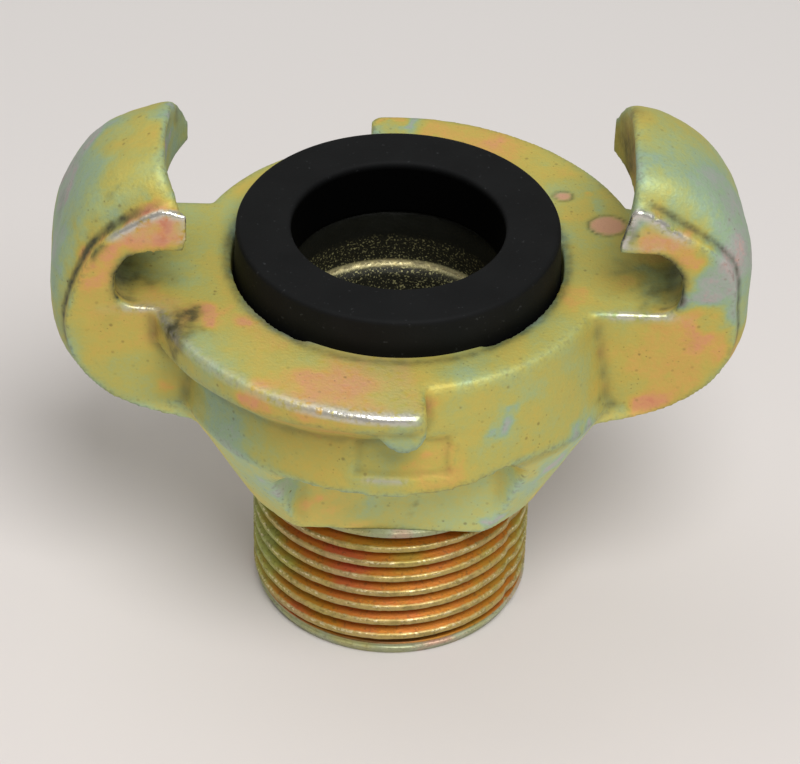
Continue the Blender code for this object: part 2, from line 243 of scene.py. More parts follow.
def waves(points, length, seed):
    """Smooth noise of about -1 to 1: the mean of 24 sines in random directions."""
    rng = np.random.default_rng(seed)
    ways = rng.normal(size=(24, 3))
    ways *= (rng.uniform(0.6, 1.7, 24) / np.linalg.norm(ways, axis=1))[:, None]
    phases = rng.uniform(0.0, 2.0 * math.pi, 24)
    angles = points @ (ways.T * (2.0 * math.pi / length)) + phases
    return np.sin(angles).sum(axis=1) * (2.0 / 24) ** 0.5 / 1.4


def curve_through(points, steps):
    """Rounded curve through the rows of points: each span is the cubic whose end
    slopes are half the difference of the neighbouring points."""
    padded = np.concatenate([points[:1], points, points[-1:]])
    before, start, end, after = (padded[n:len(padded) - 3 + n, None] for n in range(4))
    t = (np.arange(steps) / steps)[None, :, None]
    square = 2 * before - 5 * start + 4 * end - after
    cube = 3 * start - before - 3 * end + after
    spans = 0.5 * (2 * start + (end - before) * t + square * t ** 2 + cube * t ** 3)
    return np.concatenate([spans.reshape(-1, points.shape[1]), points[-1:]])


def spread_along(points, gap):
    """Points at equal steps of about the given gap along a closed or open line."""
    legs = np.linalg.norm(np.diff(points, axis=0), axis=1)
    along = np.concatenate([[0.0], np.cumsum(legs)])
    count = max(2, int(round(along[-1] / gap)) + 1)
    at = np.linspace(0.0, along[-1], count)
    return np.stack([np.interp(at, along, points[:, n]) for n in range(points.shape[1])], axis=1)


def turned(radius, angle, height):
    """Points of a turned grid: the radius laid along the angle, at the height."""
    return np.stack([radius * np.cos(angle), radius * np.sin(angle), height], axis=-1).reshape(-1, 3)


def grid_faces(rows, cols, close_rows, first=0):
    """Quads of a grid whose columns close on themselves, and whose rows may too."""
    index = first + np.arange(rows * cols).reshape(rows, cols)
    low = index if close_rows else index[:-1]
    high = np.roll(index, -1, axis=0) if close_rows else index[1:]
    quads = np.stack([low, high, np.roll(high, -1, axis=1), np.roll(low, -1, axis=1)], axis=-1)
    return quads.reshape(-1, 4)


def mesh_piece(name, points, quads, caps=()):
    """Smooth-shaded object from an array of points and an array of quads."""
    mesh = bpy.data.meshes.new(name)
    mesh.from_pydata(points.tolist(), [], quads.tolist() + [list(cap) for cap in caps])
    mesh.shade_smooth()
    piece = bpy.data.objects.new(name, mesh)
    bpy.context.scene.collection.objects.link(piece)
    return piece


def read_vectors(items, name):
    """Array of the vectors that the items of a mesh have under a name."""
    flat = np.zeros(len(items) * 3, np.float32)
    items.foreach_get(name, flat)
    return flat.reshape(-1, 3).astype(float)


def neighbour_mean(mesh, values, rounds):
    """Values averaged with those of the points joined by an edge, some rounds over."""
    ends = np.zeros(len(mesh.edges) * 2, np.int32)
    mesh.edges.foreach_get("vertices", ends)
    a, b = ends.reshape(-1, 2).T
    count = len(mesh.vertices)
    joined = np.maximum(np.bincount(a, minlength=count) + np.bincount(b, minlength=count), 1)
    columns = values.reshape(count, -1).astype(float)
    for _ in range(rounds):
        total = np.stack([
            np.bincount(a, column[b], count) + np.bincount(b, column[a], count)
            for column in columns.T
        ], axis=1)
        columns = 0.5 * columns + 0.5 * total / joined[:, None]
    return columns.reshape(values.shape)


def give_attributes(mesh, marks):
    """Stores a number from 0 to 1 for each point under each name that materials read."""
    for name, values in marks.items():
        layer = mesh.attributes.new(name, "FLOAT", "POINT")
        layer.data.foreach_set("value", np.clip(values, 0.0, 1.0).astype(np.float32))


# Cast head


def rim_share(degrees):
    """Share of the way along a rim, and whether there is a rim at that angle."""
    along = (degrees - RIM_START) % 180.0
    return along / (RIM_END - RIM_START), along <= RIM_END - RIM_START


def face_radius(degrees):
    """Outer radius of the face: the cup's, or the rim's with a round end corner."""
    share, on_rim = rim_share(degrees)
    full = FACE_R + blend(*RIM_REACH, share)
    left = np.radians((1.0 - share) * (RIM_END - RIM_START)) * full
    short = np.clip(RIM_CORNER_R - left, 0.0, RIM_CORNER_R)
    drop = RIM_CORNER_R - np.sqrt(RIM_CORNER_R ** 2 - short ** 2)
    return np.where(on_rim, full - drop, FACE_R)


def cup_edge(degrees):
    """Height of the cup's lower edge, with a bell-shaped lift each half turn."""
    return CUP_EDGE_Z + EDGE_LIFT * hill(turn_gap(degrees, LIFT_ANGLE, 180.0), LIFT_SPREAD)


def cup_radius(z):
    """Outside of the cup, a cone that narrows a little towards the face."""
    return blend(CUP_EDGE_R, FACE_R, (z - CUP_EDGE_Z) / (FACE_Z - CUP_EDGE_Z))


def catch_radius(degrees, z):
    """Half round block under a rim's end: zero outside its outline."""
    aside = CATCH_R * np.radians(turn_gap(degrees, CATCH_CENTRE, 180.0))
    inside = np.clip(CATCH_HALF_WIDTH ** 2 - aside ** 2, 0.0, None)
    low = FACE_Z - CATCH_DEPTH + CATCH_HALF_WIDTH - np.sqrt(inside)
    return np.where((inside > 0) & (z > low) & (z < FACE_Z - 0.9 * MM), CATCH_R, 0.0)


def flat_radius(degrees, z):
    """Radius left by the wrench flats: the flat's distance over the sine, no limit
    outside its width, and a sloping end that climbs out to the cup's edge."""
    angle = np.radians(degrees)
    side = np.where(np.sin(angle) > 0, 1.0, -1.0)
    lift = EDGE_LIFT * np.clip(-side * np.cos(angle) * 2.0, 0.0, 1.0)
    climb = np.clip(z - (CUP_EDGE_Z - 2.8 * MM + lift), 0.0, None) * FLAT_END_SLOPE
    away = (FLAT_Y + climb) / np.maximum(np.abs(np.sin(angle)), 0.2)
    across = away * np.cos(angle) * side + FLAT_OFFSET
    on_flat = (np.abs(across) < FLAT_HALF_WIDTH) & (np.abs(np.sin(angle)) > 0.5)
    return np.where(on_flat & (z < cup_edge(degrees) - 0.2 * MM), away, 1.0)


def plate_sink(degrees, z):
    """Depth of the bare sunken plate on the front of the cup."""
    along = FACE_R * np.radians(turn_gap(degrees, PLATE_ANGLE, 360.0))
    wide = ease((PLATE_HALF_WIDTH - np.abs(along)) / (0.3 * MM))
    high = ease((PLATE_TOP_Z - z) / (0.3 * MM)) * ease((z - PLATE_LOW_Z) / (0.2 * MM))
    return PLATE_DEPTH * wide * high


def head_radius(degrees, z):
    """Outside of the head as a radius over angle and height: neck cone, cup cone,
    rims with their undercut slope, catches, flats and plate."""
    edge = cup_edge(degrees)
    foot = (z - NECK_BOTTOM_Z) / (edge - NECK_BOTTOM_Z)
    radius = np.where(z < edge, blend(NECK_BOTTOM_R, cup_radius(edge), foot), cup_radius(z))
    radius = radius - plate_sink(degrees, z)
    share, on_rim = rim_share(degrees)
    top = face_radius(degrees)
    rim_low = FACE_Z - blend(*RIM_EDGE, share)
    root = rim_low - RIM_SLOPE * (top - FACE_R - 0.4 * MM)
    under = blend(cup_radius(root), top, (z - root) / (rim_low - root))
    radius = np.where(on_rim & (z > root), np.maximum(radius, under), radius)
    radius = np.maximum(radius, catch_radius(degrees, z))
    return np.minimum(radius, flat_radius(degrees, z))


def head_inside():
    """Inner line of the head as rows of radius and height, from the face down."""
    line = np.array((
        (RECESS_R + 0.3 * MM, FACE_Z), (RECESS_R, FACE_Z - 0.3 * MM),
        (RECESS_R, GROOVE_TOP_Z), (GROOVE_R, GROOVE_TOP_Z - 0.3 * MM),
        (GROOVE_R, GROOVE_BOTTOM_Z), (SPIGOT_R, GROOVE_BOTTOM_Z),
        (SPIGOT_R, SPIGOT_TOP_Z), (SPIGOT_BORE_R, SPIGOT_TOP_Z),
        (SPIGOT_BORE_R, SPIGOT_TOP_Z - 2.6 * MM), (PASSAGE_R, LEDGE_Z),
        (BORE_R, LEDGE_Z - 1.0 * MM), (BORE_R, NECK_BOTTOM_Z), (NECK_BOTTOM_R - 0.8 * MM, NECK_BOTTOM_Z),
    ))
    return spread_along(line, 0.3 * MM)


def head_surface(corner):
    """Closed grid of the head over angle and section: the outside line from the
    neck up, a quarter round at the top edge, the face, then the inner line."""
    degrees = np.arange(0.0, 360.0, 0.75)
    heights = np.arange(NECK_BOTTOM_Z, FACE_Z - corner, 0.15 * MM)
    angle, z = np.meshgrid(degrees, heights, indexing="ij")
    radius = head_radius(angle, z)
    turn = np.linspace(0.0, math.pi / 2, 6)
    top = face_radius(degrees)[:, None]
    corner_r = top - corner * (1.0 - np.cos(turn))
    corner_z = np.broadcast_to(FACE_Z - corner * (1.0 - np.sin(turn)), corner_r.shape)
    share = np.linspace(0.0, 1.0, 14)[1:-1]
    face_r = blend(corner_r[:, -1:], RECESS_R + 0.3 * MM, share)
    face_z = np.full_like(face_r, FACE_Z)
    line = head_inside()
    inside = np.broadcast_to(line, (len(degrees), *line.shape))
    inner_r = np.minimum(inside[..., 0], radius[:, :1] - 0.05 * MM)
    r = np.concatenate([radius, corner_r, face_r, inner_r], axis=1)
    h = np.concatenate([z, corner_z, face_z, inside[..., 1]], axis=1)
    return turned(r, np.radians(degrees)[:, None], h), grid_faces(*r.shape, True)


def claw_outline(y, side, taper, fill, reach, drop, lean):
    """Closed outline (x, z) of a claw at the distance y from its middle. The tip,
    slot wall and root lie on circles about the thread's axis, and the back swells
    by 1 less the fifth power of y's share, to the power 0.6. The share is that of
    the half width up to the land in front, and its power 0.6 at the far end. The
    tip reaches further in by the front share squared, and its top drops by the
    far share cubed. The tip's top leans outwards and up by the front share cubed."""
    lead = -y / CLAW_HALF_WIDTH
    far = max(0.0, -lead * side)
    front = max(0.0, lead * side)
    share = far ** 0.6 if far > 0.0 else min(1.0, abs(y) / (CLAW_HALF_WIDTH - CLAW_LAND))
    tip = math.sqrt(CLAW_TIP_R ** 2 - y ** 2) - reach * front ** 2
    slot = math.sqrt(CLAW_SLOT_R ** 2 - y ** 2)
    root = math.sqrt(CLAW_ROOT_R ** 2 - y ** 2)
    swell = CLAW_BULGE * (1.0 - share ** 5) ** 0.6
    x, z, out, up, part = CLAW_BACK.T
    outward = out * swell + part * (taper * lead + blend(0.0, fill, (z - 1.0) / 4.0))
    upward = up * swell + part * blend(0.0, fill, z / 10.0)
    upward = upward - drop * far ** 3 * blend(0.0, 1.0, (z - 8.0) / 3.0)
    back = np.stack([CLAW_SLOT_R + x * MM + outward, FACE_Z + z * MM + upward], axis=1)
    start = (tip - 0.05 * MM, CLAW_TIP_Z + CLAW_TIP_HEIGHT + 0.85 * swell - drop * far ** 3)
    back = np.concatenate([[start], back, [(CLAW_ROOT_R + 0.4 * MM, CLAW_ROOT_Z)]])
    back[:3] += lean * front ** 3 * np.array(((1.0, 1.0), (0.65, 0.75), (0.15, 0.2)))
    x, z = CLAW_SLOT.T * MM
    tilt = CLAW_SLOT_TILT * lead
    wall = np.stack([slot + x + CLAW_SLOT_TAPER * lead, FACE_Z + z + tilt * z / CLAW_TIP_UP], axis=1)
    wall = np.concatenate([wall, [(tip + 0.35 * MM, CLAW_TIP_Z + 0.05 * MM + tilt)]])
    corner = np.array([(root, CLAW_ROOT_Z - 0.2 * MM), (root, FACE_Z)])
    tip_point = np.array([(tip, CLAW_TIP_Z + 0.4 * MM + tilt)])
    return np.concatenate([tip_point, curve_through(back, 6), corner, curve_through(wall, 4)])


def claw_surface(first, side, *sizes):
    """Closed loft of a claw: its outline on planes across Y, closer together at
    the lands, capped at both ends."""
    inner = CLAW_HALF_WIDTH - CLAW_LAND
    half = np.concatenate([
        inner * np.sin(np.linspace(0.0, math.pi / 2, 36)),
        inner + CLAW_LAND * np.array((0.35, 0.7, 1.0)),
    ])
    planes = np.concatenate([-half[:0:-1], half])
    lines = np.stack([claw_outline(y, side, *sizes) for y in planes])
    across = np.broadcast_to(planes[:, None] + CLAW_OFFSET, lines.shape[:2])
    points = np.stack([side * lines[..., 0], side * across, lines[..., 1]], axis=-1)
    rows, cols = lines.shape[:2]
    start = first + np.arange(cols)
    caps = (start.tolist(), (start + (rows - 1) * cols).tolist())
    return points.reshape(-1, 3), grid_faces(rows, cols, False, first), caps


def fuse(piece, voxel, rounds):
    """Joins the shells of a piece and softens their edges, as a casting has them."""
    remesh = piece.modifiers.new("fuse", "REMESH")
    remesh.mode = "VOXEL"
    remesh.voxel_size = voxel
    remesh.use_smooth_shade = True
    soften = piece.modifiers.new("soften", "SMOOTH")
    soften.factor = 0.5
    soften.iterations = rounds
    graph = bpy.context.evaluated_depsgraph_get()
    fused = bpy.data.meshes.new_from_object(piece.evaluated_get(graph))
    piece.modifiers.clear()
    rough = piece.data
    piece.data = fused
    fused.name = piece.name
    bpy.data.meshes.remove(rough)
    return fused


def film_of(points, base, seed):
    """Thickness of the chromate film from 0 to 1: a base and two scales of waves."""
    return base + 0.11 * waves(points, 15 * MM, seed) + 0.07 * waves(points, 5 * MM, seed + 1)


def lay_patches(values, points, patches):
    """Draws the values towards ragged patches at places in millimetres: a bell over
    the distance, after the points are moved by waves of 3 mm and 1 mm."""
    drift = [
        0.9 * waves(points, 4.0 * MM, 41 + k) + 0.25 * waves(points, 1.2 * MM, 51 + k)
        for k in range(3)
    ]
    moved = points + np.stack(drift, axis=1) * MM
    for x, y, z, size, value in patches:
        near = hill(np.linalg.norm(moved - np.array((x, y, z)) * MM, axis=1), size * MM)
        values = values + (value - values) * np.clip(1.35 * near, 0.0, 1.0)
    return values


# Places and sizes of film patches in millimetres, and the film's thickness there:
# 0 red-brown, 0.15 orange, 0.42 yellow, 0.7 green, 0.8 teal, 0.92 lilac grey, 1 pink
LEFT_CLAW_FILM = (
    (-24.0, 2.0, 50.5, 3.2, 0.56), (-22.4, -1.5, 50.0, 2.6, 0.4), (-20.9, 3.6, 50.7, 1.2, 0.9),
    (-25.0, -4.5, 48.4, 2.8, 0.5), (-27.5, -2.9, 46.9, 2.8, 0.74), (-28.8, -5.8, 43.3, 3.0, 0.78),
    (-30.3, -4.0, 40.0, 3.4, 0.84), (-29.8, 2.0, 43.3, 3.6, 0.9), (-28.0, 4.0, 47.0, 3.0, 0.88),
    (-20.7, 2.5, 47.0, 1.6, 0.94), (-20.3, -3.0, 46.6, 1.8, 0.5), (-21.6, -7.0, 47.6, 1.0, 0.92),
    (-20.0, -8.7, 46.2, 2.2, 0.05), (-20.6, -8.9, 44.6, 1.2, 0.02), (-23.4, -8.7, 43.8, 2.4, 0.16),
    (-26.8, -8.7, 40.5, 2.4, 0.18), (-27.6, -8.7, 37.3, 2.0, 0.36), (-24.0, -8.7, 35.4, 4.2, 0.38),
    (-22.5, -8.7, 28.5, 3.6, 0.58), (-18.7, -8.7, 27.0, 1.2, 0.24),
)
RIGHT_CLAW_FILM = (
    (25.5, -1.0, 49.5, 4.2, 0.69), (23.1, 1.5, 50.5, 2.4, 0.66), (25.7, -5.0, 47.8, 2.6, 0.74),
    (22.5, -6.0, 49.2, 1.8, 0.6), (21.5, -3.5, 50.6, 1.1, 0.93), (29.0, -2.6, 46.4, 3.0, 0.84),
    (31.0, -2.0, 41.0, 4.4, 0.9), (29.8, -6.6, 43.6, 1.8, 0.96), (28.4, -6.6, 46.0, 1.8, 0.8),
    (20.3, 3.0, 46.4, 3.0, 0.34), (20.5, -7.7, 46.4, 1.2, 0.98), (22.6, -7.7, 45.0, 2.2, 0.18),
    (25.4, -7.7, 43.8, 1.8, 0.2), (27.6, -7.7, 42.6, 1.7, 0.9), (28.8, -7.7, 40.0, 2.4, 0.95),
    (26.6, -7.7, 39.6, 1.4, 0.99), (29.3, -7.7, 36.6, 2.0, 0.9), (26.6, -7.7, 35.4, 2.6, 0.16),
    (22.8, -7.7, 33.0, 2.6, 0.34), (26.0, -7.7, 30.5, 2.6, 0.34), (23.2, -7.7, 26.8, 2.2, 0.12),
    (19.3, -7.7, 27.2, 1.5, 0.52),
)
FACE_FILM = (
    (-17.6, 2.6, 37.2, 2.6, 0.57), (-19.4, -3.4, 37.2, 2.0, 0.64), (-15.9, -0.5, 37.2, 1.0, 0.44),
    (-15.9, -9.6, 37.2, 2.0, 0.12), (-19.1, -10.0, 37.2, 1.2, 0.3), (-2.1, 21.8, 37.2, 1.6, 0.22),
    (0.4, 21.7, 37.2, 0.9, 0.97), (4.6, 20.4, 37.2, 3.0, 0.3), (9.2, 18.3, 37.2, 2.6, 0.22),
    (14.0, 14.6, 37.2, 3.0, 0.42), (16.4, 7.6, 37.2, 1.6, 0.42), (18.4, 10.4, 37.2, 1.0, 0.14),
    (17.6, 1.0, 37.2, 2.8, 0.5), (16.2, -5.6, 37.2, 1.6, 0.3), (17.6, -9.2, 37.2, 2.0, 0.5),
    (23.4, -2.4, 38.0, 2.8, 0.66), (-23.2, -3.0, 38.0, 2.2, 0.6), (-5.5, -19.5, 37.2, 4.0, 0.16),
    (4.0, -20.5, 37.2, 2.6, 0.3), (10.5, -14.6, 37.2, 2.0, 0.5),
)
FRONT_FILM = (
    (-14.1, -14.9, 27.8, 3.6, 0.8), (-16.0, -12.4, 30.0, 3.0, 0.77), (-12.0, -20.0, 36.0, 2.0, 0.12),
    (-4.9, -22.6, 34.6, 3.0, 0.3), (-7.5, -18.8, 29.3, 4.0, 0.45), (-1.5, -20.0, 30.4, 2.0, 0.6),
    (3.3, -19.8, 30.2, 1.0, 0.22), (9.6, -17.4, 32.4, 1.3, 0.93), (8.4, -18.1, 30.6, 0.8, 0.9),
    (6.6, -19.0, 33.6, 2.0, 0.52), (14.8, -13.7, 30.5, 3.4, 0.53), (17.0, -11.5, 27.0, 1.5, 0.88),
    (-7.0, -12.6, 18.6, 1.4, 0.2), (-4.4, -12.6, 17.5, 1.6, 0.44), (-1.6, -12.6, 18.5, 1.8, 0.68),
    (2.0, -12.6, 18.2, 3.0, 0.6), (6.2, -12.6, 18.2, 2.8, 0.62), (9.7, -12.0, 16.6, 1.3, 0.93),
    (-9.9, -14.6, 20.9, 2.6, 0.83), (-13.0, -11.6, 21.0, 2.0, 0.7), (11.6, -13.9, 21.6, 1.6, 0.78),
    (14.0, -11.9, 23.5, 2.0, 0.9),
)

# Share, length and seed of the waves that make the cast surface uneven
CAST_WAVES = ((0.5, 5.5 * MM, 3), (0.3, 2.2 * MM, 4), (0.2, 1.0 * MM, 5))

# How strongly a bend in the surface counts as a ridge or a hollow
BEND_GAIN = 9.0

# Angles at which the wear and painted highlight of the front rim begin, grow and end
WEAR_ANGLES = (205.0, 238.0, 277.0)

# Small bare spots on the face beside the rim, seen as pink ovals with a dark edge
OVALS = ((19.2, 5.8, 1.75), (15.2, 10.3, 0.85))

# Dark places in millimetres, with their depth: painted shade on the slot walls and floors, on the tips, in
# notches by the front rim and at a claw's root, and real scratches and pits
SHADE_AND_PIT_SPOTS = (
    (22.6, -5.6, 37.2, 1.1, 0.5), (-21.8, -5.6, 37.2, 1.0, 0.45), (24.8, -6.0, 39.6, 1.2, 0.5),
    (-25.0, -6.6, 39.4, 1.2, 0.5), (19.6, -6.9, 45.4, 0.8, 0.5), (20.0, 1.5, 47.6, 1.4, 0.4),
    (-24.6, -4.0, 38.4, 2.6, 0.75), (-25.6, 1.0, 40.0, 3.5, 0.8), (24.6, -3.0, 38.4, 2.6, 0.75),
    (25.6, 1.0, 40.0, 3.5, 0.8), (20.2, 4.8, 46.0, 2.6, 0.7), (-20.5, 6.0, 48.0, 1.3, 0.45),
    (22.6, -2.2, 37.2, 2.4, 0.35), (-22.8, -2.0, 37.2, 2.0, 0.3), (-18.9, -10.6, 36.7, 1.8, 0.85),
    (-17.8, -11.8, 36.6, 1.0, 0.6), (-25.3, -6.8, 47.2, 0.8, 0.4),
    (1.3, -12.6, 18.1, 0.35, 0.7), (2.9, -12.6, 18.0, 0.3, 0.45), (18.6, -8.4, 27.6, 0.8, 0.45),
)


def oval_marks(points):
    """Film and dark edge of the ovals: inside the ring, and at its distance."""
    inside = np.zeros(len(points))
    edge = np.zeros(len(points))
    top = hill(points[:, 2] - FACE_Z, 0.4 * MM)
    for x, y, size in OVALS:
        away = np.hypot(points[:, 0] - x * MM, (points[:, 1] - y * MM) * 1.15) / MM
        inside = np.maximum(inside, ease((size - away) / 0.4) * top)
        edge = np.maximum(edge, hill(away - size, 0.22) * top)
    return inside, edge


def wear_and_glint_places(points):
    """Share of wear and of painted highlight: the front rim's top edge and the front ends
    of the claw tips, worn bare with a painted glint, and painted glints along the slots'
    front edges and at the foot of the plate.
    """
    x, y, z = points.T / MM
    degrees = angle_of(points)
    begin, grow, end = WEAR_ANGLES
    on_rim = blend(0.25, 1.0, (degrees - grow) / 22.0) * ease((degrees - begin) / 10.0)
    on_rim = on_rim * ease((end - degrees) / 4.0) * ease((z - FACE_Z / MM + 1.0) / 0.4)
    land = -(CLAW_HALF_WIDTH - CLAW_LAND) / MM + CLAW_OFFSET / MM * np.sign(x)
    tips = ease((z - 44.0) / 0.6) * ease((land - y - 0.2) / 0.4) * ease((26.3 - np.abs(x)) / 2.6)
    slots = 0.7 * hill(z - FACE_Z / MM + 0.3, 0.5) * ease((-6.8 - y) / 0.5) * ease((np.abs(x) - 18.5) / 1.0)
    foot = hill(z - PLATE_LOW_Z / MM + 0.1, 0.3) * ease((6.0 - np.abs(degrees - PLATE_ANGLE + 4.5)) / 1.5)
    return np.clip(on_rim + tips + slots * ease((27.0 - np.abs(x)) / 1.0) + foot, 0.0, 1.0)


def claw_crease_shade(points):
    """Painted shade: a dark line in the crease along the inner side of each claw's front land, stronger on
    -X.
    """
    x, y, z = points.T / MM
    inner = CLAW_HALF_WIDTH - CLAW_LAND
    left = hill(y + (inner + CLAW_OFFSET) / MM, 0.46) * ease((-21.4 - x) / 2.5)
    right = 0.8 * hill(y + (inner - CLAW_OFFSET) / MM, 0.2) * ease((x - 20.6) / 2.0)
    return (left + right) * ease((z - 30.0) / 6.0)


def slot_front(points):
    """Share of the front edge of each claw's slot wall, from the face to the tip."""
    x, y, z = points.T / MM
    across = ease((np.abs(x) - 22.6) / 0.8) * ease((27.0 - np.abs(x)) / 0.6)
    return across * ease((-6.0 - y) / 0.5) * ease((z - 37.6) / 0.6) * ease((44.2 - z) / 0.6)


def head_marks(mesh, smooth, points, normals, settings):
    """Numbers that the casting's material reads: where the surface bends outwards
    (ridge) and inwards (hollow, which carries painted shade), where it is worn with a
    painted highlight, where it is dark from painted shade or from pits and scratches,
    where the neck gets painted light, where it is in the bore and gets painted shade,
    and how thick the film is."""
    bend = ((neighbour_mean(mesh, smooth, 2) - smooth) * normals).sum(axis=1) / settings.voxel
    bend = neighbour_mean(mesh, bend, 1)
    height = points[:, 2]
    radius = np.hypot(points[:, 0], points[:, 1])
    film = film_of(points, settings.film, 11)
    for places in (LEFT_CLAW_FILM, RIGHT_CLAW_FILM, FACE_FILM, FRONT_FILM):
        film = lay_patches(film, points, places)
    # Painted shade: the material colours the bore's walls near black
    bore = ease((SPIGOT_R + 0.3 * MM - radius) / (0.4 * MM)) * ease((FACE_Z - 0.6 * MM - height) / MM)
    # Painted highlight: a thin bright arc where the bore steps in
    glint = bore * hill(height - LEDGE_Z + 0.15 * MM, 0.17 * MM)
    cup_line = hill(height - cup_edge(angle_of(points)), 0.5 * MM) * (1.0 - bore)
    cup_line = cup_line * ease((23.0 * MM - radius) / MM)
    ridge = np.maximum(np.clip(-BEND_GAIN * bend, 0.0, 1.0), 0.9 * cup_line)
    # Hollows carry painted shade in the material
    hollow = np.clip(BEND_GAIN * bend, 0.0, 1.0)
    # Wear with painted highlight: pale bare grey on the rim and tips, painted glints on slot edges and plate
    # foot
    wear_and_glint = np.clip(1.5 * ridge + 0.1, 0.0, 1.0) * wear_and_glint_places(points)
    inside, edge = oval_marks(points)
    spots = lay_patches(np.zeros(len(points)), points, SHADE_AND_PIT_SPOTS)
    # Painted shade in the crease beside each claw's land
    crease = claw_crease_shade(points) * np.clip(2.0 * hollow + 0.2, 0.0, 1.0)
    # Painted shade in the gap between the ring and the recess wall
    ring_gap_shade = hill(radius - RECESS_R, 0.42 * MM) * ease((height - FACE_Z + 0.6 * MM) / (0.3 * MM))
    # Painted light on the neck below the cup edge, which also eases its hollow shade
    neck = ease((CUP_EDGE_Z + 0.6 * MM - height) / (1.5 * MM)) * (1.0 - bore)
    return {
        "pad": 0.85 * inside,
        "cast_bore": ease((SPIGOT_TOP_Z - 2.7 * MM - height) / (0.5 * MM)),
        "ridge": ridge,
        "hollow": hollow * (1.0 - 0.6 * neck),
        "pale": neck,
        "wear_and_glint": np.maximum(wear_and_glint, glint),
        "ledge_glint": glint,
        "film": film,
        # Dark: painted shade in slots, notches, crease and ring gap, with real pits, scratches, oval edges
        # and slot-edge lines
        "dark": np.max([spots, 0.7 * edge, crease, 0.6 * ring_gap_shade, ridge * slot_front(points)], axis=0),
        "bore": bore,
    }


def make_cast_head(settings):
    """Head of the coupling with both claws, fused and given its cast surface."""
    head, quads = head_surface(settings.corner)
    shells = [head]
    faces = [quads]
    caps = []
    for claw_sizes in CLAWS:
        claw, claw_quads, ends = claw_surface(sum(len(s) for s in shells), *claw_sizes)
        shells.append(claw)
        faces.append(claw_quads)
        caps.extend(ends)
    piece = mesh_piece("cast_head", np.concatenate(shells), np.concatenate(faces), caps)
    mesh = fuse(piece, settings.voxel, settings.softening)
    smooth = read_vectors(mesh.vertices, "co")
    normals = read_vectors(mesh.vertex_normals, "vector")
    swell = sum(part * waves(smooth, length, seed) for part, length, seed in CAST_WAVES)
    cut = ease((np.abs(smooth[:, 2] - FACE_Z) - 0.2 * MM) / (0.4 * MM))
    points = smooth + normals * (swell * settings.unevenness * (0.3 + 0.7 * cut))[:, None]
    points = np.clip(points, np.array(CAD_LOW), np.array(CAD_HIGH))
    mesh.vertices.foreach_set("co", points.ravel())
    give_attributes(mesh, head_marks(mesh, smooth, points, normals, settings))
    mesh.update()
    piece.data.materials.append(chromate_on_casting())
    return piece


# Thread


# Film patches of the thread, in the same terms as those of the head
THREAD_FILM = (
    (-4.0, -12.3, 10.5, 2.6, 0.0), (-8.5, -9.6, 12.5, 3.0, 0.12), (-12.6, -4.0, 8.0, 5.0, 0.68),
    (12.8, -3.0, 8.0, 4.0, 0.45), (6.0, -11.5, 6.0, 4.0, 0.24), (-3.0, -12.8, 4.0, 3.0, 0.2),
)


def thread_place(angle, z, pitch):
    """Place in the pitch from -0.5 to 0.5, with 0 on the crest of the right-hand
    helix: the height over the pitch less the turn."""
    return (z / pitch - angle / (2.0 * math.pi) - THREAD_START + 0.5) % 1.0 - 0.5


def dent_share(angle):
    """Share of the streak of flattened crests at an angle in radians."""
    return hill(turn_gap(np.degrees(angle), DENT_ANGLE, 360.0), DENT_SPREAD)


def thread_radius(angle, z, pitch):
    """Radius of the thread: a 55 degree vee with a flat crest and a round root,
    held under the end chamfer and the run-out, then the relief and the collar."""
    from_crest = np.abs(thread_place(angle, z, pitch)) * 2.0
    depth = THREAD_R - RELIEF_R
    vee = np.clip((from_crest - CREST_SHARE) / (0.97 - CREST_SHARE), 0.0, 1.0)
    root = FLANK_SHARE + ROOT_SHARE * np.sin((vee - FLANK_SHARE) / ROOT_SHARE * math.pi / 2)
    torn = waves(np.stack([angle * THREAD_R, z * 0.6, z * 0.0], axis=-1).reshape(-1, 3), 0.9 * MM, 31)
    burr = (0.03 + 0.025 * torn.reshape(angle.shape)) * MM * hill(from_crest - CREST_SHARE, 0.09)
    radius = THREAD_R - CREST_DROP - depth * np.where(vee < FLANK_SHARE, vee, root) + burr
    radius = np.minimum(radius, THREAD_R - DENT_DEPTH * dent_share(angle))
    radius = np.minimum(radius, THREAD_END_R + END_SLOPE * z)
    radius = np.minimum(radius, RELIEF_R + RUN_OUT_SLOPE * np.clip(THREAD_TOP_Z - z, 0.0, None))
    band = np.maximum(radius, THREAD_END_R + BAND_SLOPE * z)
    radius = blend(radius, band, ease((START_BAND_Z + 0.1 * MM - z) / (0.2 * MM)))
    rise = ease((z - (COLLAR_Z - 0.25 * MM)) / (0.3 * MM))
    return blend(radius, COLLAR_R, rise)


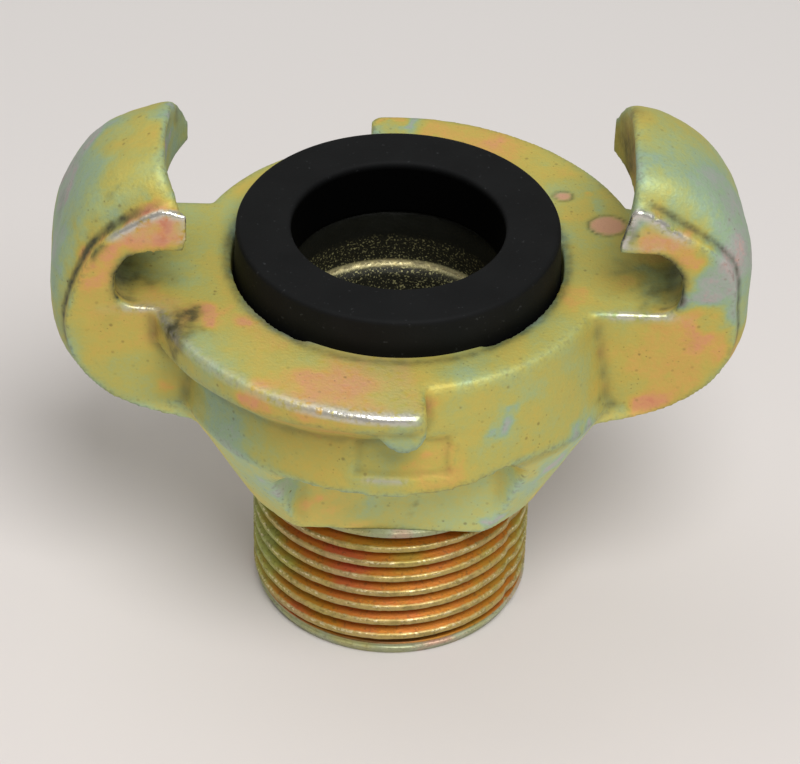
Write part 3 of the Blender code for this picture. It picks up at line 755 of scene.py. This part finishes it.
def make_thread(settings):
    """Threaded end with its relief, collar, bore, end face and chamfers, a closed
    turned grid whose top ends inside the neck."""
    turns = np.arange(0.0, 360.0, 1.0)
    top = NECK_BOTTOM_Z + 0.4 * MM
    heights = np.arange(0.25 * MM, top, 0.08 * MM)
    angle, z = np.meshgrid(np.radians(turns), heights, indexing="ij")
    outer = thread_radius(angle, z, settings.pitch)
    outer = np.where(z > NECK_BOTTOM_Z + 0.1 * MM, COLLAR_R - 1.2 * MM, outer)
    inside = spread_along(np.array((
        (COLLAR_R - 1.2 * MM, top), (BORE_R + 0.4 * MM, top), (BORE_R + 0.4 * MM, NECK_BOTTOM_Z),
        (BORE_R, NECK_BOTTOM_Z - 0.1 * MM), (BORE_R, 0.6 * MM), (BORE_R + 0.6 * MM, 0.0), (THREAD_END_R, 0.0),
    )), 0.5 * MM)
    inside = np.broadcast_to(inside, (len(turns), *inside.shape))
    r = np.concatenate([outer, inside[..., 0]], axis=1)
    h = np.concatenate([z, inside[..., 1]], axis=1)
    turn = angle[:, :1]
    points = turned(r, turn, h)
    piece = mesh_piece("pipe_thread", points, grid_faces(*r.shape, True))
    mesh = piece.data
    place = thread_place(np.broadcast_to(turn, h.shape), h, settings.pitch).reshape(-1)
    radius = np.hypot(points[:, 0], points[:, 1])
    crest = ((radius - RELIEF_R) / (THREAD_R - RELIEF_R)).clip(0, 1)
    dent = dent_share(np.arctan2(points[:, 1], points[:, 0]))
    flattened = (dent > 0.25) & (radius > THREAD_R - DENT_DEPTH * dent - 0.06 * MM)
    crest = np.where(flattened, 1.0, crest)
    height = points[:, 2]
    collar = ease((height - COLLAR_Z + 0.1 * MM) / (0.2 * MM))
    start = ease((START_BAND_Z - 0.1 * MM - height) / (0.2 * MM))
    give_attributes(mesh, {
        "crest": crest,
        "lip": hill(place - 0.5 * CREST_SHARE + 0.02, 0.05),
        # Painted shade: a dark line under each crest
        "under": hill(place + 0.5 * CREST_SHARE + 0.1, 0.08) + hill(np.abs(place) - 0.5, 0.05),
        "plain": collar + start,
        # Painted shade in the relief below the neck
        "relief": ease((height - THREAD_TOP_Z) / (0.4 * MM)) * (1.0 - crest),
        "film": lay_patches(film_of(points, settings.film, 21), points, THREAD_FILM),
    })
    mesh.materials.append(chromate_on_thread())
    return piece


# Sealing ring


def make_ring(settings):
    """Rubber ring: a turned section with rounded lips, slightly uneven."""
    hole = SPIGOT_BORE_R - 0.43 * MM
    outer = RECESS_R - 0.9 * MM
    round_r = settings.lip
    turn = np.linspace(0.0, math.pi / 2, 6)
    rise, run = round_r * (1 - np.sin(turn)), round_r * (1 - np.cos(turn))
    inner_lip = np.stack([hole + run, RING_TOP_Z - rise], 1)
    outer_lip = np.stack([outer - rise, RING_TOP_Z - run], 1)
    line = np.concatenate([inner_lip, outer_lip, np.array((
        (RECESS_R - 0.55 * MM, GROOVE_TOP_Z + 0.3 * MM),
        (RING_HIGH[0], GROOVE_TOP_Z - 0.7 * MM), (RING_HIGH[0], RING_LOW[2]),
        (SPIGOT_R + 0.3 * MM, RING_LOW[2]), (SPIGOT_R + 0.3 * MM, SPIGOT_TOP_Z + 0.3 * MM),
        (hole, SPIGOT_TOP_Z + 0.3 * MM), (hole, RING_TOP_Z - round_r - 0.01 * MM),
    ))])
    line = spread_along(line, 0.25 * MM)[:-1]
    turns = np.radians(np.arange(0.0, 360.0, 1.5))[:, None]
    r = np.broadcast_to(line[:, 0], (len(turns), len(line)))
    z = np.broadcast_to(line[:, 1], r.shape)
    piece = mesh_piece("rubber_ring", turned(r, turns, z), grid_faces(*r.shape, True))
    # Painted shade: near black in the ring's hole and low on its outer side
    within = ease((hole + 0.25 * MM - r) / (0.15 * MM)) * ease((RING_TOP_Z - round_r - z) / (0.5 * MM))
    low = 0.62 * ease((r - outer) / (0.2 * MM)) * ease((FACE_Z + 2.4 * MM - z) / (2.0 * MM))
    give_attributes(piece.data, {"inside": np.maximum(within, low).reshape(-1)})
    piece.data.materials.append(nitrile_rubber(settings.rubber))
    return piece


# Materials


def feed(tree, node, inputs):
    """Gives a node its inputs, by order or by name: each is a number, a hex colour
    or a socket to link from."""
    pairs = inputs.items() if isinstance(inputs, dict) else enumerate(inputs)
    for name, value in pairs:
        if isinstance(value, bpy.types.NodeSocket):
            tree.links.new(value, node.inputs[name])
        else:
            node.inputs[name].default_value = to_linear(value)


def add_node(tree, kind, inputs=(), output=0, stops=(), **settings):
    """Adds a node with its properties, inputs and colour ramp stops, and returns one
    of its outputs."""
    node = tree.nodes.new("ShaderNode" + kind)
    for name, value in settings.items():
        setattr(node, name, value)
    feed(tree, node, inputs)
    if stops:
        elements = node.color_ramp.elements
        while len(elements) < len(stops):
            elements.new(0.5)
        for element, (place, colour) in zip(elements, stops):
            element.position = place
            element.color = to_linear(colour)
    return node.outputs[output]


def new_material(name, *marks):
    """Material, a function that adds nodes to it, the place on the piece, and the
    numbers stored on the mesh under the names of the marks."""
    material = bpy.data.materials.new(name)
    material.use_nodes = True
    add = partial(add_node, material.node_tree)
    place = add("TexCoord", output="Object")
    return material, add, place, *(add("Attribute", output="Fac", attribute_name=mark) for mark in marks)


def give_shader(material, inputs):
    """Feeds the shader of a material, and returns the material."""
    tree = material.node_tree
    feed(tree, tree.nodes["Principled BSDF"], inputs)
    return material


def patches(add, place, size, low, high, detail=3.0):
    """Ragged patches of about the given size, from 0 to 1 between two noise levels."""
    noise = add("TexNoise", {"Vector": place, "Scale": 1.0 / size, "Detail": detail})
    return add("MapRange", (noise, low, high))


def dots(add, place, spacing, size):
    """Round soft dots on a jittered lattice, near half of the cells empty: the size is
    a dot's radius as a share of the spacing."""
    away = add("TexVoronoi", {"Vector": place, "Scale": 1.0 / spacing})
    chosen = add("SeparateColor", {"Color": away.node.outputs["Color"]})
    near = add("MapRange", (away, 0.4 * size, size, 1.0, 0.0))
    return add("Math", (near, add("MapRange", (chosen, 0.45, 0.8))), operation="MULTIPLY")


def cover(add, colour, layers):
    """Lays colours over a colour, each with its share."""
    for share, top in layers:
        colour = add("Mix", {0: share, 6: colour, 7: top}, 2, data_type="RGBA")
    return colour


# Interference colours of the chromate film, from thin to thick
FILM_COLOURS = (
    (0.0, "#cb8065"), (0.14, "#d69a6c"), (0.28, "#d0a859"), (0.42, "#c2b056"),
    (0.54, "#b6b15f"), (0.66, "#a8b377"), (0.78, "#98b091"), (0.88, "#a3aba0"),
    (0.94, "#b0a6a1"), (1.0, "#c9a69a"),
)

# Sizes of the lumps in the film of the casting, and how much each changes it
FILM_LUMPS = ((3.0 * MM, 0.2), (0.8 * MM, 0.16), (0.3 * MM, 0.14))

# Film thickness that worn edges tend to
EDGE_FILM = 0.93


def chromate_on_casting():
    """Yellow chromate on zinc over malleable iron: satin, pastel, iridescent metal
    whose hue follows the film's thickness, lilac grey along its edges, worn bare
    and pale grey with a painted highlight on the rim and claw tips, painted glints
    on the slot edges, the plate's foot and a step in the bore, painted dark shade
    in the hollows, creases, slots, ring gap and bore, painted light on the neck,
    with soft specks and a cast grain of about 0.3 mm."""
    material, add, place, film, ridge, hollow, dark, wear_and_glint, pale, pad, bore, cast_bore, ledge_glint = new_material(
        "yellow_chromate_on_casting", "film", "ridge", "hollow", "dark", "wear_and_glint", "pale", "pad", "bore",
        "cast_bore", "ledge_glint")
    for size, amount in FILM_LUMPS:
        lumps = add("TexNoise", {"Vector": place, "Scale": 1.0 / size, "Detail": 2.0})
        film = add("Math", (film, -0.5 * amount), operation="ADD")
        film = add("Math", (lumps, amount, film), operation="MULTIPLY_ADD")
    edge = add("Math", (patches(add, place, 2.5 * MM, 0.38, 0.6), 0.4, 0.15), operation="MULTIPLY_ADD")
    edge = add("Math", (ridge, edge), operation="MULTIPLY")
    change = add("Math", (EDGE_FILM, film), operation="SUBTRACT")
    film = add("Math", (change, edge, film), operation="MULTIPLY_ADD")
    colour = add("ValToRGB", (film,), stops=FILM_COLOURS)
    # Painted light: the neck's colour is made brighter
    colour = add("HueSaturation", {"Saturation": 0.95, "Value": 1.35, "Fac": pale, "Color": colour})
    large, small = (dots(add, place, spacing, 0.22) for spacing in (1.0 * MM, 0.5 * MM))
    specks = add("Math", (large, small), operation="ADD")
    share = add("Math", (patches(add, place, 6.0 * MM, 0.42, 0.62), 0.4, 0.12), operation="MULTIPLY_ADD")
    specks = add("Math", (specks, share), operation="MULTIPLY")
    edge_specks = add("Math", (patches(add, place, 0.4 * MM, 0.5, 0.62), ridge), operation="MULTIPLY")
    edge_specks = add("Math", (edge_specks, 0.35), operation="MULTIPLY")
    # Wear and painted highlight: pale grey bare zinc that also stands for glints
    wear_glint_patches = add("Math", (wear_and_glint, patches(add, place, 0.7 * MM, 0.3, 0.5)), operation="MULTIPLY")
    streaks = add("Math", (patches(add, place, 1.1 * MM, 0.35, 0.6, 5.0), 0.5, 0.6), operation="MULTIPLY_ADD")
    # Painted shade, with some grime, scratches and pits, streaked
    shade_and_grime = add("Math", (dark, streaks), operation="MULTIPLY")
    # Painted shade in the hollows
    hollow_shade = add("Math", (hollow, 0.7), operation="MULTIPLY")
    # Where the bore's painted shade shows: in the bore, away from wear and glints
    without_wear_or_glint = add("Math", (1.0, wear_and_glint), operation="SUBTRACT")
    wall = add("Math", (bore, without_wear_or_glint), operation="MULTIPLY")
    # Painted shade in the bore: near black, and dark with painted glints on the cast passage's wall
    passage_shade_and_glints = cover(add, "#26261b", [(patches(add, place, 0.2 * MM, 0.56, 0.72, 2.0), "#b5b07c")])
    painted_bore_shade = cover(add, "#16170f", [(cast_bore, passage_shade_and_glints)])
    # Over the film: painted dark shade with some grime, painted shade in the hollows, pale grey wear with a
    # painted highlight, the bore's painted shade and a painted yellow glint
    colour = cover(add, colour, (
        (specks, "#6a5830"), (edge_specks, "#6a5c4c"), (wear_glint_patches, "#cfccc4"), (shade_and_grime, "#31321b"),
        (hollow_shade, "#45452a"), (pad, "#d29c84"), (wall, painted_bore_shade), (ledge_glint, "#fff0b4"),
    ))
    metal = add("Math", (wear_and_glint, 0.55, 0.4), operation="MULTIPLY_ADD")
    metal = add("Math", (metal, add("Math", (shade_and_grime, 0.4), operation="MULTIPLY")), operation="SUBTRACT")
    rough = add("TexNoise", {"Vector": place, "Scale": 1.0 / (1.4 * MM), "Detail": 3.0})
    rough = add("Math", (rough, 0.2, 0.5), operation="MULTIPLY_ADD")
    rough = add("Math", (wear_glint_patches, -0.32, rough), operation="MULTIPLY_ADD")
    fine, coarse = (
        add("TexNoise", {"Vector": place, "Scale": 1.0 / size, "Detail": 3.0})
        for size in (0.3 * MM, 1.2 * MM)
    )
    height = add("Math", (fine, coarse), operation="ADD")
    bump = add("Bump", {"Height": height, "Strength": 0.45, "Distance": 0.09 * MM})
    return give_shader(material, {
        "Base Color": colour, "Metallic": metal, "Roughness": rough, "Normal": bump,
    })


# Colours of the thread's flanks and crests from thin to thick film, and of its plain
# band and collar
FLANK_COLOURS = (
    (0.0, "#bf5a30"), (0.14, "#bc6826"), (0.28, "#b97617"), (0.42, "#a98526"), (0.6, "#95933a"),
    (0.8, "#98a05a"), (1.0, "#c8a292"),
)
CREST_COLOURS = (
    (0.0, "#b59a68"), (0.3, "#b9a25c"), (0.5, "#b0aa50"), (0.7, "#a3ab5c"), (1.0, "#b4ac96"),
)
BAND_COLOURS = ((0.35, "#b0ac74"), (0.45, "#a6ab82"), (0.55, "#acb092"), (0.68, "#c9a08a"))


def chromate_on_thread():
    """Yellow chromate on a cut thread: orange to red flanks, a painted shade line under
    each crest, painted shade in the relief below the neck, and pale crests with
    painted glints where the die tore them."""
    material, add, place, film, crest, lip, under, plain, relief = new_material(
        "yellow_chromate_on_cut_thread", "film", "crest", "lip", "under", "plain", "relief")
    lumps, tears, tones, grit = (
        add("TexNoise", {"Vector": place, "Scale": 1.0 / size, "Detail": detail})
        for size, detail in ((2.0 * MM, 4.0), (0.45 * MM, 3.0), (5.0 * MM, 3.0), (0.3 * MM, 3.0))
    )
    film = add("Math", (lumps, 0.3, add("Math", (film, -0.15), operation="ADD")), operation="MULTIPLY_ADD")
    flank = add("ValToRGB", (film,), stops=FLANK_COLOURS)
    crest_hue = add("ValToRGB", (film,), stops=CREST_COLOURS)
    crest = add("Math", (tears, 0.2, add("Math", (crest, -0.1), operation="ADD")), operation="MULTIPLY_ADD")
    on_crest = add("MapRange", (crest, 0.76, 0.9))
    dull = add("Math", (on_crest, 0.45), operation="MULTIPLY")
    dull = add("Math", (patches(add, place, 1.1 * MM, 0.48, 0.66), dull), operation="MULTIPLY")
    # Painted shade under the crests
    under = add("Math", (under, 0.9), operation="MULTIPLY")
    # Painted shade in the relief
    relief = add("Math", (relief, 0.85), operation="MULTIPLY")
    pits = add("Math", (patches(add, place, 0.35 * MM, 0.56, 0.68, 2.0), 0.4), operation="MULTIPLY")
    # Painted glints on the torn crests
    painted_crest_glint = patches(add, place, 0.3 * MM, 0.47, 0.6, 2.0)
    for share in (on_crest, lip, patches(add, place, 1.6 * MM, 0.4, 0.58)):
        painted_crest_glint = add("Math", (painted_crest_glint, share), operation="MULTIPLY")
    colour = cover(add, flank, (
        (on_crest, crest_hue), (dull, "#6f6430"), (under, "#3d3212"), (relief, "#6e4424"),
        (plain, add("ValToRGB", (tones,), stops=BAND_COLOURS)), (pits, "#5a4820"), (painted_crest_glint, "#f1e6ba"),
    ))
    metal = add("Math", (painted_crest_glint, 0.5, 0.5), operation="MULTIPLY_ADD")
    rough = add("Math", (painted_crest_glint, -0.2, 0.47), operation="MULTIPLY_ADD")
    bump = add("Bump", {"Height": grit, "Strength": 0.4, "Distance": 0.06 * MM})
    return give_shader(material, {
        "Base Color": colour, "Metallic": metal, "Roughness": rough, "Normal": bump,
    })


def nitrile_rubber(colour):
    """Moulded nitrile rubber: near black, matte, with a few pale specks of dust, and
    painted shade, blacker and less glossy, in its hole and low on its outer side.
    """
    material, add, place, inside = new_material("nitrile_rubber_black", "inside")
    cloud, grit = (
        add("TexNoise", {"Vector": place, "Scale": 1.0 / size, "Detail": 3.0})
        for size in (4.0 * MM, 0.4 * MM)
    )
    dust = add("Math", (patches(add, place, 0.5 * MM, 0.68, 0.76, 2.0), 0.3), operation="MULTIPLY")
    colour = add("ValToRGB", (cloud,), stops=((0.3, "#060708"), (0.7, colour)))
    # Painted shade in the hole and low on the outer side: near black and less glossy
    colour = cover(add, colour, ((dust, "#4a4c4e"), (inside, "#010101")))
    gloss = add("Math", (inside, -0.14, 0.18), operation="MULTIPLY_ADD")
    bump = add("Bump", {"Height": grit, "Strength": 0.35, "Distance": 0.05 * MM})
    return give_shader(material, {
        "Base Color": colour, "Roughness": 0.75, "Specular IOR Level": gloss, "Normal": bump,
    })


def pale_paper(colour):
    """Matt pale paper of the floor, a little lighter towards the back."""
    material, add, place = new_material("pale_paper")
    back = add("MapRange", (add("SeparateXYZ", (place,), "Y"), -0.1, 0.3))
    tone = add("ValToRGB", (back,), stops=((0.0, "#d4cdcb"), (1.0, colour)))
    return give_shader(material, {"Base Color": tone, "Roughness": 0.9})


# Stage


def make_stage(settings):
    """Pale floor, soft lights and the photograph's camera."""
    scene = bpy.context.scene
    corners = FLOOR_HALF_WIDTH * np.array(((-1, -1, 0), (1, -1, 0), (1, 1, 0), (-1, 1, 0)))
    floor = mesh_piece("floor", corners, np.array(((0, 1, 2, 3),)))
    floor.data.materials.append(pale_paper(settings.paper))
    world = bpy.data.worlds.new("studio")
    world.use_nodes = True
    tree = world.node_tree
    feed(tree, tree.nodes["Background"], {"Color": "#e8e6e2", "Strength": settings.sky})
    scene.world = world
    for name, power, width, spot in (
        ("key", settings.key_power, 0.3, (0.1, -0.28, 0.5)),
        ("fill", settings.fill_power, 0.5, (-0.25, 0.2, 0.55)),
    ):
        lamp = bpy.data.lights.new(name, "AREA")
        lamp.energy = power
        lamp.shape = "DISK"
        lamp.size = width
        light = bpy.data.objects.new(name, lamp)
        scene.collection.objects.link(light)
        light.location = spot
        light.rotation_euler = (-Vector(spot)).to_track_quat("-Z", "Y").to_euler()
    camera_data = bpy.data.cameras.new("camera")
    camera_data.sensor_width = 36.0
    camera_data.lens = PHOTO_FOCAL * camera_data.sensor_width / PHOTO_WIDTH
    camera_data.clip_start = 0.01
    camera = bpy.data.objects.new("camera", camera_data)
    scene.collection.objects.link(camera)
    tilt = Matrix.Rotation(math.radians(90.0 - CAMERA_TILT), 4, "X")
    roll = Matrix.Rotation(math.radians(CAMERA_ROLL), 4, "Z")
    camera.matrix_world = Matrix.Translation(CAMERA_PLACE) @ tilt @ roll
    scene.camera = camera
    scene.view_settings.view_transform = "Standard"


# Add-on


class COUPLING_PG_head(bpy.types.PropertyGroup):
    """Sizes of the cast head that a user would change."""

    voxel: FloatProperty(name="Cell", description="Cell size of the fused surface",
                         default=0.36 * MM, unit="LENGTH")
    softening: IntProperty(name="Softening", description="Rounds of edge softening", default=3)
    corner: FloatProperty(name="Edge radius", description="Rounding of the face's outer edge",
                          default=0.6 * MM, unit="LENGTH")
    unevenness: FloatProperty(name="Unevenness", description="Height of the casting's waves",
                              default=0.04 * MM, unit="LENGTH")
    film: FloatProperty(name="Film", description="Thickness of the film, which sets its hue",
                        default=0.54, subtype="FACTOR", min=0.0, max=1.0)


class COUPLING_PG_thread(bpy.types.PropertyGroup):
    """Sizes of the thread."""

    pitch: FloatProperty(name="Pitch", description="Distance from crest to crest",
                         default=1.814 * MM, unit="LENGTH")
    film: FloatProperty(name="Film", description="Thickness of the film, which sets its hue",
                        default=0.26, subtype="FACTOR", min=0.0, max=1.0)


class COUPLING_PG_ring(bpy.types.PropertyGroup):
    """Sizes of the sealing ring."""

    lip: FloatProperty(name="Lip radius", description="Rounding of the ring's edges",
                       default=0.33 * MM, unit="LENGTH")
    rubber: FloatVectorProperty(name="Rubber", description="Colour of the rubber", size=4,
                                default=to_linear("#0c0d0e"), subtype="COLOR", min=0.0, max=1.0)


class COUPLING_PG_stage(bpy.types.PropertyGroup):
    """Light and floor of the stage."""

    sky: FloatProperty(name="Surround", description="Strength of the even light", default=0.47)
    key_power: FloatProperty(name="Key light", description="Power of the lamp above in front",
                             default=2.75, unit="POWER")
    fill_power: FloatProperty(name="Fill light", description="Power of the lamp above behind left",
                              default=0.65, unit="POWER")
    paper: FloatVectorProperty(name="Paper", description="Colour of the floor at the back", size=4,
                               default=to_linear("#d7d6d4"), subtype="COLOR", min=0.0, max=1.0)


def settle(piece, node):
    """The piece rides on the body and stands for its node."""
    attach(piece, "root")
    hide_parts(node)


class COUPLING_OT_cast_head(bpy.types.Operator):
    """Makes the cast head with its claws, rims and neck"""

    bl_idname = "coupling.cast_head"
    bl_label = "Cast head"

    def execute(self, context):
        settle(make_cast_head(context.scene.coupling_head), "coupling_body")
        return {"FINISHED"}


class COUPLING_OT_thread(bpy.types.Operator):
    """Makes the threaded end with its bore"""

    bl_idname = "coupling.thread"
    bl_label = "Pipe thread"

    def execute(self, context):
        settle(make_thread(context.scene.coupling_thread), "coupling_body")
        return {"FINISHED"}


class COUPLING_OT_ring(bpy.types.Operator):
    """Makes the rubber sealing ring"""

    bl_idname = "coupling.ring"
    bl_label = "Sealing ring"

    def execute(self, context):
        settle(make_ring(context.scene.coupling_ring), "sealing_ring")
        return {"FINISHED"}


class COUPLING_OT_stage(bpy.types.Operator):
    """Makes the floor, the lights and the camera"""

    bl_idname = "coupling.stage"
    bl_label = "Stage"

    def execute(self, context):
        make_stage(context.scene.coupling_stage)
        return {"FINISHED"}


class COUPLING_PT_panel(bpy.types.Panel):
    """Lists the pieces and their settings"""

    bl_label = "Coupling"
    bl_idname = "COUPLING_PT_panel"
    bl_space_type = "VIEW_3D"
    bl_region_type = "UI"
    bl_category = "Coupling"

    def draw(self, context):
        for name, group, operator in STEPS:
            box = self.layout.box()
            for setting in group.__annotations__:
                box.prop(getattr(context.scene, name), setting)
            box.operator(operator.bl_idname)


# Settings of each step, the name they have in the scene, and the step's operator
STEPS = (
    ("coupling_head", COUPLING_PG_head, COUPLING_OT_cast_head),
    ("coupling_thread", COUPLING_PG_thread, COUPLING_OT_thread),
    ("coupling_ring", COUPLING_PG_ring, COUPLING_OT_ring),
    ("coupling_stage", COUPLING_PG_stage, COUPLING_OT_stage),
)


def register():
    for name, group, operator in STEPS:
        bpy.utils.register_class(group)
        setattr(bpy.types.Scene, name, PointerProperty(type=group))
        bpy.utils.register_class(operator)
    bpy.utils.register_class(COUPLING_PT_panel)


def unregister():
    bpy.utils.unregister_class(COUPLING_PT_panel)
    for name, group, operator in reversed(STEPS):
        bpy.utils.unregister_class(operator)
        delattr(bpy.types.Scene, name)
        bpy.utils.unregister_class(group)


def main():
    """Makes every piece in order."""
    register()
    bpy.ops.coupling.cast_head()
    bpy.ops.coupling.thread()
    bpy.ops.coupling.ring()
    bpy.ops.coupling.stage()


if __name__ == "__main__":
    main()
